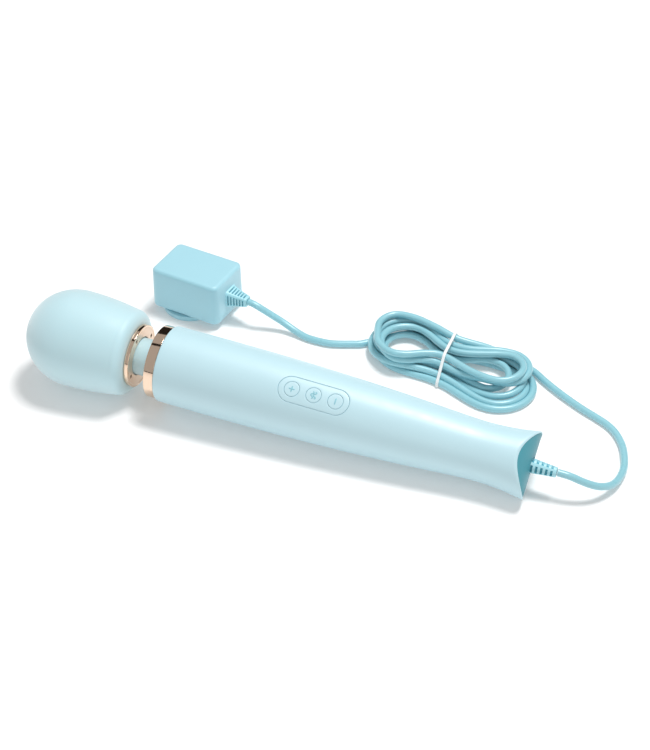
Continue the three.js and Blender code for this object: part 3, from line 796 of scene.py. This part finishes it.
def add_head_ring():
    face = RING_BACK_X - 0.25
    rim = [(RING_FRONT_X, 16, 0), (RING_FRONT_X, RING_RADIUS, 0.3), (RING_BACK_X, RING_RADIUS, 0.45)]
    step = [(RING_BACK_X, RING_RADIUS - 1.3, 0.12), (face, RING_RADIUS - 1.5, 0.12)]
    bore = [(face, RING_HOLE, 0.3), (RING_FRONT_X, RING_HOLE, 0.2), (RING_FRONT_X, 15, 0)]
    outline = eased(rim + step + bore)

    def kinds(x_1, r_1, x_2, r_2):
        """The satin face inside the polished rim."""
        return 1 if min(x_1, x_2) > RING_BACK_X - 0.4 and max(r_1, r_2) < RING_RADIUS - 1.2 else 0

    ring = turned(outline, 160, kinds).piece("head_gold_ring", [GOLD, GOLD_FACE], WAND, 30)
    holes = Shape()
    for y, z in screw_places():
        profile = [(75.5, 0), (75.5, 1.15), (76.6, 1.25), (78, 1.25), (78, 0)]
        holes.rows([hoop(x, r, 32, y, z) for x, r in profile])
    cut(ring, holes.piece("ring_holes", [DARK_STEEL], WAND))
    finished(ring, "head", "rose_gold", "head_ring")


def add_ring_screws():
    """Countersunk screws with a cross slot, just under the ring's face."""
    for number, (y, z) in enumerate(screw_places(), 1):
        shape = Shape()
        top = RING_BACK_X - 0.55
        profile = [(71, 0), (71, 0.8), (top - 0.7, 0.8), (top - 0.1, 1.05), (top, 0.95)]
        last = shape.rows([hoop(x, r, SCREW_SIDES, y, z) for x, r in profile])[-1]
        crossed = []
        for a, (_, side, up) in zip(circle(SCREW_SIDES), hoop(top, 0.6, SCREW_SIDES, y, z)):
            in_slot = min(abs(math.cos(a)), abs(math.sin(a))) < 0.3
            crossed.append((top - (SCREW_SLOT_DEPTH if in_slot else 0), side, up))
        inner = shape.onward(last, crossed)
        shape.onward(inner, [(top - SCREW_SLOT_DEPTH, y, z)] * SCREW_SIDES)
        screw = shape.piece(f"ring_screw_{number}", [DARK_STEEL], WAND, 25)
        finished(screw, "head", "steel", f"head_ring_screw_{number}")


NECK_RADIUS = 11.9
NECK_MIDDLE_X = 83
NECK_INSIDE = 9.4


def neck_half(name, from_x, to_x, node):
    steps = 28
    outside = [(from_x + (to_x - from_x) * i / steps, NECK_RADIUS) for i in range(steps + 1)]
    inside = [(x, NECK_INSIDE) for x, _ in outside[::-1]]
    piece = turned(outside + inside, 128).piece(name, [SILICONE], WAND, 60)
    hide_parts(node)
    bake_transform(piece)


def add_neck():
    neck_half("neck_skin_rear", NECK_MIDDLE_X, 94.1, "neck_sleeve_rear")
    neck_half("neck_skin_front", 71.5, NECK_MIDDLE_X, "neck_sleeve_front")


COLLAR_RADIUS = 23.2
COLLAR_FRONT_X = 88.9
COLLAR_BACK_X = 95.3
COLLAR_BORE = 21.7


def add_collar():
    plate = COLLAR_FRONT_X + 2.2
    front = [(plate, 17, 0), (plate, RING_HOLE, 0.2), (COLLAR_FRONT_X, RING_HOLE, 0.3)]
    band = [(COLLAR_FRONT_X, COLLAR_RADIUS, 0.45), (COLLAR_BACK_X, COLLAR_RADIUS, 0.25)]
    bore = [(COLLAR_BACK_X, COLLAR_BORE, 0.2), (plate, COLLAR_BORE, 0.2), (plate, 18, 0)]
    piece = turned(eased(front + band + bore), 160).piece("handle_gold_collar", [GOLD], WAND, 30)
    finished(piece, "handle", "rose_gold", "handle_ring")


add_head()
add_head_ring()
add_ring_screws()
add_neck()
add_collar()

# ---- handle

WAND_LENGTH = 331.5
HANDLE_FRONT_X = 95.6
SHOULDER_RADIUS = 24.3
HANDLE_WALL = 2.4
TAIL_ROUND = 24.2
TAIL_EDGE_X = 325
SHOULDER_X = 97.2
SIDES = 192
PATCH_COLUMNS = 15
PANEL_X = 197
PANEL_LENGTH = 44.8
PANEL_WIDTH = 16.2
PANEL_RADIUS = PANEL_WIDTH / 2
PANEL_STRAIGHT = PANEL_LENGTH / 2 - PANEL_RADIUS
PATCH_REACH = 28
FLARE_X = 292

FRONT_STATIONS = [(SHOULDER_X, SHOULDER_RADIUS), (135, 24.4), (178, 23.9), (220, 22.5)]
FRONT_STATIONS += [(260.6, 20.4), (285, 18.75)]
half_thickness = spline(FRONT_STATIONS + [(300, 18), (309, 18.1), (318, 18.4), (326, 18.8), (333, 19.2)])
half_width = spline(FRONT_STATIONS + [(300, 18.1), (309, 18.35), (318, 19.1), (326, 20.3), (333, 21.6)])


def tail_end_x(z):
    """Where the rounded end is, at that height over the wand's middle plane."""
    return WAND_LENGTH - TAIL_ROUND + math.sqrt(TAIL_ROUND**2 - min(abs(z), TAIL_ROUND) ** 2)


def on_skin(x, angle, lift=0.0):
    return (x, (half_width(x) + lift) * math.cos(angle), (half_thickness(x) + lift) * math.sin(angle))


def over_skin(x, y, lift=0.0):
    """The point of the button side at (x, y), raised by lift."""
    angle = math.acos(max(-1.0, min(1.0, y / half_width(x))))
    return (x, y, half_thickness(x) * math.sin(angle) + lift)


def skin_rows():
    """The stations along the handle, each an x that may depend on the angle."""
    first = PANEL_X - PATCH_REACH
    last = PANEL_X + PATCH_REACH
    plain = list(np.linspace(SHOULDER_X, first, 19))
    fine = [first + i for i in range(1, 2 * PATCH_REACH)]
    rest = list(np.linspace(last, FLARE_X, 18))
    return plain, fine, rest


def handle_sheet(shape, lift, end_back):
    """The handle's skin at a lift, less the patch round the buttons: rows of point numbers."""
    plain, fine, rest = skin_rows()
    rows = [[on_skin(x, a, lift) for a in circle(SIDES)] for x in plain + fine + rest]
    for step in range(1, 17):
        row = []
        for a in circle(SIDES):
            end = tail_end_x((half_thickness(TAIL_EDGE_X) + lift) * math.sin(a)) - end_back
            row.append(on_skin(FLARE_X + (end - FLARE_X) * step / 16, a, lift))
        rows.append(row)
    numbers = [shape.loop(row) for row in rows]
    top = SIDES // 4
    hole = (len(plain) - 1, len(plain) + len(fine))
    for i, (first, second) in enumerate(zip(numbers, numbers[1:])):
        for j in range(SIDES):
            if i in range(*hole) and top - PATCH_COLUMNS <= j < top + PATCH_COLUMNS:
                continue
            k = (j + 1) % SIDES
            shape.face((first[j], first[k], second[k], second[j]))
    return numbers, hole


def outline_at(x, y, out):
    """The point of the panel's outline moved out, straight from the panel's spine through (x, y)."""
    spine = min(max(x, -PANEL_STRAIGHT), PANEL_STRAIGHT)
    away = Vector((x - spine, y)).normalized() * (PANEL_RADIUS + out)
    return spine + away.x, away.y


PATCH_SHARES = (0.2, 0.4, 0.58, 0.74, 0.87, 1.0)
GROOVE_EDGE = [(0.42, 0.0), (0.26, -0.04), (0.14, -0.16), (0.07, -0.35)]


def handle_patch(shape, numbers, hole, lift, wall):
    """Fills the sheet's hole as far as the panel's outline: its last row of point numbers."""
    top = SIDES // 4
    low, high = top - PATCH_COLUMNS, top + PATCH_COLUMNS
    start, end = hole
    around = [(i, low) for i in range(start, end)] + [(end, j) for j in range(low, high)]
    around += [(i, high) for i in range(end, start, -1)] + [(start, j) for j in range(high, low, -1)]
    last = [numbers[i][j] for i, j in around]
    corners = [shape.points[n] for n in last]
    edge = [outline_at(x - PANEL_X, y, GROOVE_EDGE[0][0]) for x, y, _ in corners]
    for share in PATCH_SHARES:
        row = []
        for (x, y, _), (edge_x, edge_y) in zip(corners, edge):
            row.append(over_skin(x + (edge_x + PANEL_X - x) * share, y + (edge_y - y) * share, lift))
        last = shape.onward(last, row)
    for out, depth in GROOVE_EDGE[1:] + [(GROOVE_EDGE[-1][0], wall)]:
        outline = [outline_at(x, y, out) for x, y in edge]
        last = shape.onward(last, [over_skin(PANEL_X + x, y, lift + depth) for x, y in outline])
    return last


TAIL_EDGE = [(0.5, -0.05), (0.2, -0.25), (0.03, -0.6), (0.0, -0.85), (0.03, -1.05)]
TAIL_RIM = TAIL_EDGE + [(0.15, -1.15), (1.2, -1.2)]


def add_handle():
    shape = Shape()
    outer, hole = handle_sheet(shape, 0, 0.9)
    groove = handle_patch(shape, outer, hole, 0, -1.4)
    inner, _ = handle_sheet(shape, -HANDLE_WALL, 2.6)
    inner_edge = handle_patch(shape, inner, hole, -HANDLE_WALL, 0)
    shape.strip(groove, inner_edge)

    last = outer[-1]
    for back, lift in TAIL_RIM:
        row = []
        for a in circle(SIDES):
            z = (half_thickness(TAIL_EDGE_X) + lift) * math.sin(a)
            row.append(on_skin(tail_end_x(z) - back, a, lift))
        last = shape.onward(last, row)
    shape.strip(last, inner[-1])

    last = outer[0]
    front = [(SHOULDER_X, SHOULDER_RADIUS, 0), (HANDLE_FRONT_X, 24.2, 0.9), (HANDLE_FRONT_X, 22.4, 0)]
    for x, radius in eased(front, 6)[1:]:
        last = shape.onward(last, hoop(x, radius, SIDES))
    shape.strip(last, inner[0])
    piece = shape.piece("handle_body", [PEARL], WAND, 50)
    finished(piece, "handle", "handle_plastic", "handle_shell_upper", "handle_shell_lower")


BUTTON_PITCH = 13.85
BUTTON_RADIUS = 4.65
HOLE_RADIUS = 4.78
PANEL_BOTTOM = -1.4
PANEL_EDGE = [(-out, lift) for out, lift in GROOVE_EDGE] + [(-0.07, PANEL_BOTTOM)]
PANEL_TOP_RADIUS = PANEL_RADIUS + PANEL_EDGE[0][0]
HOLE_EDGE = [(0.0, PANEL_BOTTOM), (0.0, -0.35), (0.06, -0.16), (0.18, -0.04), (0.32, 0.0)]


def cell_reach(centre, angle, low, high):
    """How far the panel goes from a button's centre that way, and whether its outline ends it."""
    near, far = 0.0, 40.0
    for _ in range(50):
        half = (near + far) / 2
        x, y = centre + half * math.cos(angle), half * math.sin(angle)
        spine = min(max(x, -PANEL_STRAIGHT), PANEL_STRAIGHT)
        if math.hypot(x - spine, y) < PANEL_TOP_RADIUS:
            near = half
        else:
            far = half
    x = centre + near * math.cos(angle)
    for side in (low, high):
        if side is not None and (x - side) * (centre - side) < -1e-9:
            return (side - centre) / math.cos(angle), False
    return near, True


def panel_cell(shape, centre, low, high):
    """The part of the panel round one button, closed underneath."""
    angles = circle(96)
    for side in (low, high):
        if side is not None:
            corner = math.atan2(PANEL_TOP_RADIUS, side - centre)
            angles += [corner % (2 * math.pi), -corner % (2 * math.pi)]
    angles = sorted(set(round(a, 9) for a in angles))
    columns = []
    for angle in angles:
        reach, on_outline = cell_reach(centre, angle, low, high)
        c, s = math.cos(angle), math.sin(angle)
        spots = [(HOLE_RADIUS + r, lift) for r, lift in HOLE_EDGE]
        start = spots[-1][0]
        spots += [(start + (reach - start) * share, 0) for share in (0.35, 0.7, 1.0)]
        column = [over_skin(PANEL_X + centre + r * c, r * s, lift) for r, lift in spots]
        x, y = centre + reach * c, reach * s
        for out, lift in PANEL_EDGE[1:]:
            edge = outline_at(x, y, out) if on_outline else (x, y)
            column.append(over_skin(PANEL_X + edge[0], edge[1], lift if on_outline else 0))
        if not on_outline:
            column[-1] = over_skin(PANEL_X + x, y, PANEL_BOTTOM)
        columns.append((shape.loop(column), on_outline))
    across = len(HOLE_EDGE) + 2
    for (first, edge_1), (second, edge_2) in zip(columns, columns[1:] + columns[:1]):
        for i in range(len(first) - 1):
            if i < across or (edge_1 and edge_2):
                shape.face((first[i], first[i + 1], second[i + 1], second[i]))
        shape.face((first[-1], first[0], second[0], second[-1]))


def add_panel():
    shape = Shape()
    half = BUTTON_PITCH / 2
    panel_cell(shape, -BUTTON_PITCH, None, -half)
    panel_cell(shape, 0, -half, half)
    panel_cell(shape, BUTTON_PITCH, half, None)
    piece = shape.piece("button_surround", [PEARL], WAND, 50)
    finished(piece, "handle", "handle_plastic", "button_panel")


def ridge(shape, path, half, height, kind):
    """A raised line with a round top along (x, y) points of the button side."""
    count = len(path)
    rows = []
    for i, (x, y) in enumerate(path):
        ahead = Vector(path[min(i + 1, count - 1)]) - Vector(path[max(i - 1, 0)])
        side = Vector((-ahead.y, ahead.x)).normalized()
        tip = 0.35 if i in (0, count - 1) else 1.0
        row = []
        for a in circle(12):
            across = half * tip * math.cos(a)
            up = height * tip * math.sin(a)
            row.append(over_skin(x + side.x * across, y + side.y * across, up - 0.12))
        rows.append(row)
    numbers = shape.rows(rows, kind=kind)
    shape.face(tuple(numbers[0]), kind)
    shape.face(tuple(numbers[-1][::-1]), kind)


def straight(from_point, to_point, steps=6):
    return [tuple(Vector(from_point).lerp(Vector(to_point), i / steps)) for i in range(steps + 1)]


def icon_paths(kind, x):
    size = 2.1
    bar = straight((x, -size), (x, size))
    if kind == "plus":
        return [straight((x - size, 0), (x + size, 0)), bar]
    if kind == "minus":
        return [bar]
    return [
        [(x + side + 0.8 * math.sin(t * 3 * math.pi), -2.3 + 4.6 * t) for t in np.linspace(0, 1, 31)]
        for side in (-0.8, 0.8)
    ]


def add_button(kind, place):
    x = PANEL_X + place * BUTTON_PITCH
    shape = Shape()
    rows = []
    profile = [(0.001, -0.12), (1.2, -0.11), (2.4, -0.08), (3.4, -0.03), (4.0, 0.0), (4.3, 0.0)]
    profile += [(4.48, -0.04), (4.59, -0.16), (BUTTON_RADIUS, -0.35), (BUTTON_RADIUS, -2.4), (0.001, -2.4)]
    for r, lift in profile:
        rows.append([over_skin(x + r * math.cos(a), r * math.sin(a), lift) for a in circle(72)])
    shape.rows(rows)
    for path in icon_paths(kind, x):
        ridge(shape, path, 0.42, 0.26, 1)
    piece = shape.piece(f"{kind}_button_cap", [BUTTON, ICON], WAND, 50)
    finished(piece, f"{kind}_button", "button_plastic", f"button_{kind}")


RELIEF_HOLE = 5.35
PLATE_EDGE = -1.25
PLATE_INNER_EDGE = -2.6


def add_tail_plate():
    """The rounded end, set a little back inside the handle's rim, in a darker tone that is painted shade."""
    shape = Shape()

    def row(share, lift, depth):
        points = []
        for a in circle(SIDES):
            rim_z = (half_thickness(TAIL_EDGE_X) + lift) * math.sin(a)
            rim_y = (half_width(tail_end_x(rim_z)) + lift) * math.cos(a)
            y = RELIEF_HOLE * math.cos(a) * (1 - share) + rim_y * share
            z = RELIEF_HOLE * math.sin(a) * (1 - share) + rim_z * share
            points.append((tail_end_x(z) - depth, y, z))
        return points

    shares = list(np.linspace(0, 1, 18))
    rows = [row(share, PLATE_EDGE, 0.3) for share in shares]
    rows += [row(1, PLATE_EDGE, 1.1), row(1, PLATE_INNER_EDGE, 1.1)]
    rows += [row(share, PLATE_INNER_EDGE, 2.8) for share in shares[::-1]]
    shape.rows(rows + rows[:1])
    piece = shape.piece("tail_end_plate", [TAIL_PAINTED_SHADE], WAND, 40)
    finished(piece, "handle", "tail_plastic", "tail_plate")


# ---- strain reliefs


def squared(angle, power):
    """How far a rounded square of half-width 1 reaches that way."""
    return (abs(math.cos(angle)) ** power + abs(math.sin(angle)) ** power) ** (-1 / power)


BOOT_SIDES = 96
SLOT_EDGE = 0.08
BRIDGE_HALF = math.radians(13)


def boot(start, end, base, tip, slots, pitch, slot_width, power, bridge_angle, base_lip):
    """A sheath along x from half-width base to tip, with rings of four slots between bridges.

    A power of 2 makes it round and a higher one squarer. base_lip is solid before the first slot.
    """
    stations = [(start, 0)]
    for slot in range(slots):
        near = start + base_lip + slot * pitch
        far = near + slot_width
        stations += [(near, 0), (near + SLOT_EDGE, 1), (far, 1), (far + SLOT_EDGE, 0)]
    last = far + SLOT_EDGE
    stations += [(last + (end - last) * share, 0) for share in (0.3, 0.75)]
    levels = [(start, TINY, 0)]
    for x, slotted in stations:
        share = (x - start) / (end - start)
        levels.append((x, base + (tip - base) * share**0.8, slotted))
    levels += [(end - 0.35, tip, 0), (end - 0.08, tip * 0.94, 0), (end, tip * 0.82, 0), (end, TINY, 0)]

    quarter = math.pi / 2
    angles = circle(BOOT_SIDES)
    off_bridge = [abs((a - bridge_angle + quarter / 2) % quarter - quarter / 2) for a in angles]
    shape = Shape()
    rows = []
    for x, size, slotted in levels:
        row = []
        for a, off in zip(angles, off_bridge):
            depth = 1.0 + 0.12 * size if slotted and off > BRIDGE_HALF else 0
            r = size * (squared(a, power) if size > TINY else 1) - depth
            row.append((x, r * math.cos(a), r * math.sin(a)))
        rows.append(row)
    shape.rows(rows)
    # The faces inside the slots take the second material, whose darker tone is painted shade.
    for row, (here, following) in enumerate(zip(levels, levels[1:])):
        for side, off in enumerate(off_bridge):
            if here[2] and following[2] and off > BRIDGE_HALF - math.radians(1):
                shape.kinds[row * BOOT_SIDES + side] = 1
    return shape


def add_handle_relief():
    shape = boot(326, 346.2, 5.25, 3.1, 6, 3.0, 1.4, 2.2, 0, 1.6)
    piece = shape.piece("handle_cord_boot", [RELIEF, SLOT_PAINTED_SHADE], WAND, 35)
    return finished(piece, "handle", "strain_relief", "handle_strain_relief")


OUTLET_Z = 18.2


def add_adapter_relief():
    shape = boot(25.5, 39.5, 6.4, 3.1, 6, 2.0, 0.95, 5, math.pi / 4, 1.1)
    shape.points = [(x, y, z + OUTLET_Z) for x, y, z in shape.points]
    piece = shape.piece("adapter_cord_boot", [RELIEF, SLOT_PAINTED_SHADE], ADAPTER, 35)
    return finished(piece, "handle", "strain_relief", "adapter_strain_relief")


add_handle()
add_panel()
for kind, place in (("plus", -1), ("pattern", 0), ("minus", 1)):
    add_button(kind, place)
add_tail_plate()
handle_boot = add_handle_relief()
adapter_boot = add_adapter_relief()

# ---- adapter

ADAPTER_LENGTH = 51.8
ADAPTER_WIDTH = 36.7
ADAPTER_BOTTOM = 4.2
ADAPTER_TOP = 34.2
ADAPTER_CORNER = 5
ADAPTER_DRAFT = 0.6
ADAPTER_BEVEL = 2.5
BOTTOM_EDGE = 2
SOCKET_RADIUS = 19


def rounded_box_row(inset, z, arc_steps=12, side_steps=10):
    """One level of the adapter's outline, moved in by an inset and by its slight taper."""
    inset += ADAPTER_DRAFT * (z - ADAPTER_BOTTOM) / (ADAPTER_TOP - ADAPTER_BOTTOM)
    corner = max(ADAPTER_CORNER - inset, 0.4)
    half_x = ADAPTER_LENGTH / 2 - inset - corner
    half_y = ADAPTER_WIDTH / 2 - inset - corner
    arcs = []
    for quarter, (x, y) in enumerate([(1, 1), (-1, 1), (-1, -1), (1, -1)]):
        angles = [(quarter + step / arc_steps) * math.pi / 2 for step in range(arc_steps + 1)]
        corner_x, corner_y = x * half_x, y * half_y
        arcs.append([(corner_x + corner * math.cos(a), corner_y + corner * math.sin(a), z) for a in angles])
    row = []
    for arc, following in zip(arcs, arcs[1:] + arcs[:1]):
        row += arc + straight(arc[-1], following[0], side_steps)[1:-1]
    return row


def add_adapter_cover():
    shape = Shape()
    underside = [(8, 0.3), (5.2, 0.3), (5.0, 0), (2.2, 0)]
    rows = [rounded_box_row(inset, ADAPTER_BOTTOM + rise) for inset, rise in underside]
    for s, c in quarter_turn(1, 8):
        rows.append(rounded_box_row(BOTTOM_EDGE * (1 - s), ADAPTER_BOTTOM + BOTTOM_EDGE * (1 - c)))
    rows += [rounded_box_row(0, level) for level in (9, 14, 19, 24, 28)]
    for s, c in quarter_turn(0, 10):
        rows.append(rounded_box_row(ADAPTER_BEVEL * (1 - c), ADAPTER_TOP - ADAPTER_BEVEL * (1 - s)))
    rows += [rounded_box_row(ADAPTER_BEVEL + more, ADAPTER_TOP) for more in (0.3, 4, 8, 12)]
    numbers = shape.rows(rows)
    shape.face(tuple(numbers[0]))
    shape.face(tuple(numbers[-1][::-1]))
    piece = shape.piece("adapter_shell", [ADAPTER_BODY], ADAPTER, 50)
    return finished(piece, "handle", "adapter_plastic", "adapter_cover", "adapter_base")


def add_adapter_socket():
    """The round boss under the adapter, with its recessed face."""
    top = ADAPTER_BOTTOM - 0.25
    face = [(2.6, 0, 0), (2.6, 13, 0.3), (0, 13, 0.4), (0, SOCKET_RADIUS - 0.2, 1.0)]
    outline = eased(face + [(top, SOCKET_RADIUS + 0.1, 0.5), (top, 12, 0), (top, 0, 0)])
    shape = turned_up(outline, 128)
    shape.points = [(x + SOCKET_CENTRE[0], y + SOCKET_CENTRE[1], z) for x, y, z in shape.points]
    piece = shape.piece("adapter_plug_boss", [ADAPTER_BODY], ADAPTER, 50)
    return finished(piece, "handle", "adapter_plastic", "adapter_plug_socket")


adapter_shell = add_adapter_cover()
adapter_boss = add_adapter_socket()

# ---- the hidden pieces' finishes

SLOTS = {part["node"]: part["material_slot"] for part in frame["record"]["subparts"]}
for name, node in frame["nodes"].items():
    if not node.hide_render:
        node.data.materials.clear()
        node.data.materials.append(INSIDE[SLOTS[name]])

# ---- floor and light


def floor_material():
    nodes = Nodes("floor")
    nodes.two_tones(nodes.noise(3, 2), (0.88, 0.865, 0.86), (0.90, 0.885, 0.88))
    nodes.set(Roughness=0.7, Specular_IOR_Level=0.2)
    nodes.set(Emission_Color=(1, 1, 1, 1), Emission_Strength=0.15)
    return nodes.material


def add_floor():
    shape = Shape()
    ticks = [-6, -3, 0, 3, 6]
    shape.rows([[(x, y, 0) for x in ticks] for y in ticks], closed=False)
    shape.piece("floor", [floor_material()])


LIGHT_TARGET = (0.02, 0.03, 0.02)


def add_light(name, place, size, power):
    data = bpy.data.lights.new(name, "AREA")
    data.shape = "RECTANGLE"
    data.size, data.size_y = size
    data.energy = power
    light = linked(name, data)
    light.location = place
    facing(light, Vector(LIGHT_TARGET) - Vector(place))


def add_flag(name, half_length, *edges):
    """A black card that only reflections show, as a studio sets beside polished metal."""
    shape = Shape()
    shape.rows([[(-half_length, *edge), (half_length, *edge)] for edge in edges], closed=False)
    nodes = Nodes(name)
    nodes.two_tones(nodes.noise(2), (0.012, 0.009, 0.007), (0.02, 0.014, 0.01))
    nodes.set(Roughness=0.9)
    flag = shape.piece(name, [nodes.material])
    for hidden in ("camera", "diffuse", "shadow", "transmission", "volume_scatter"):
        setattr(flag, f"visible_{hidden}", False)


def add_world():
    world = bpy.data.worlds.new("world")
    world.use_nodes = True
    fill(world.node_tree.nodes["Background"], {"Color": (1, 1, 1, 1), "Strength": 0.44})
    bpy.context.scene.world = world


add_floor()
add_world()
add_light("key", (0.25, 0.4, 1.6), (0.5, 0.4), 21)
add_light("front", (0.5, -1.8, 0.9), (1.6, 1.0), 3.5)
add_flag("flag_back", 3, (2.2, 0.05), (2.2, 2.4))
add_flag("flag_gap", 2, (-0.15, 2.2), (0.15, 2.2))
add_flag("flag_low", 3, (-2.4, 0.02), (-2.4, 0.12))
bpy.context.scene.view_settings.view_transform = "Standard"
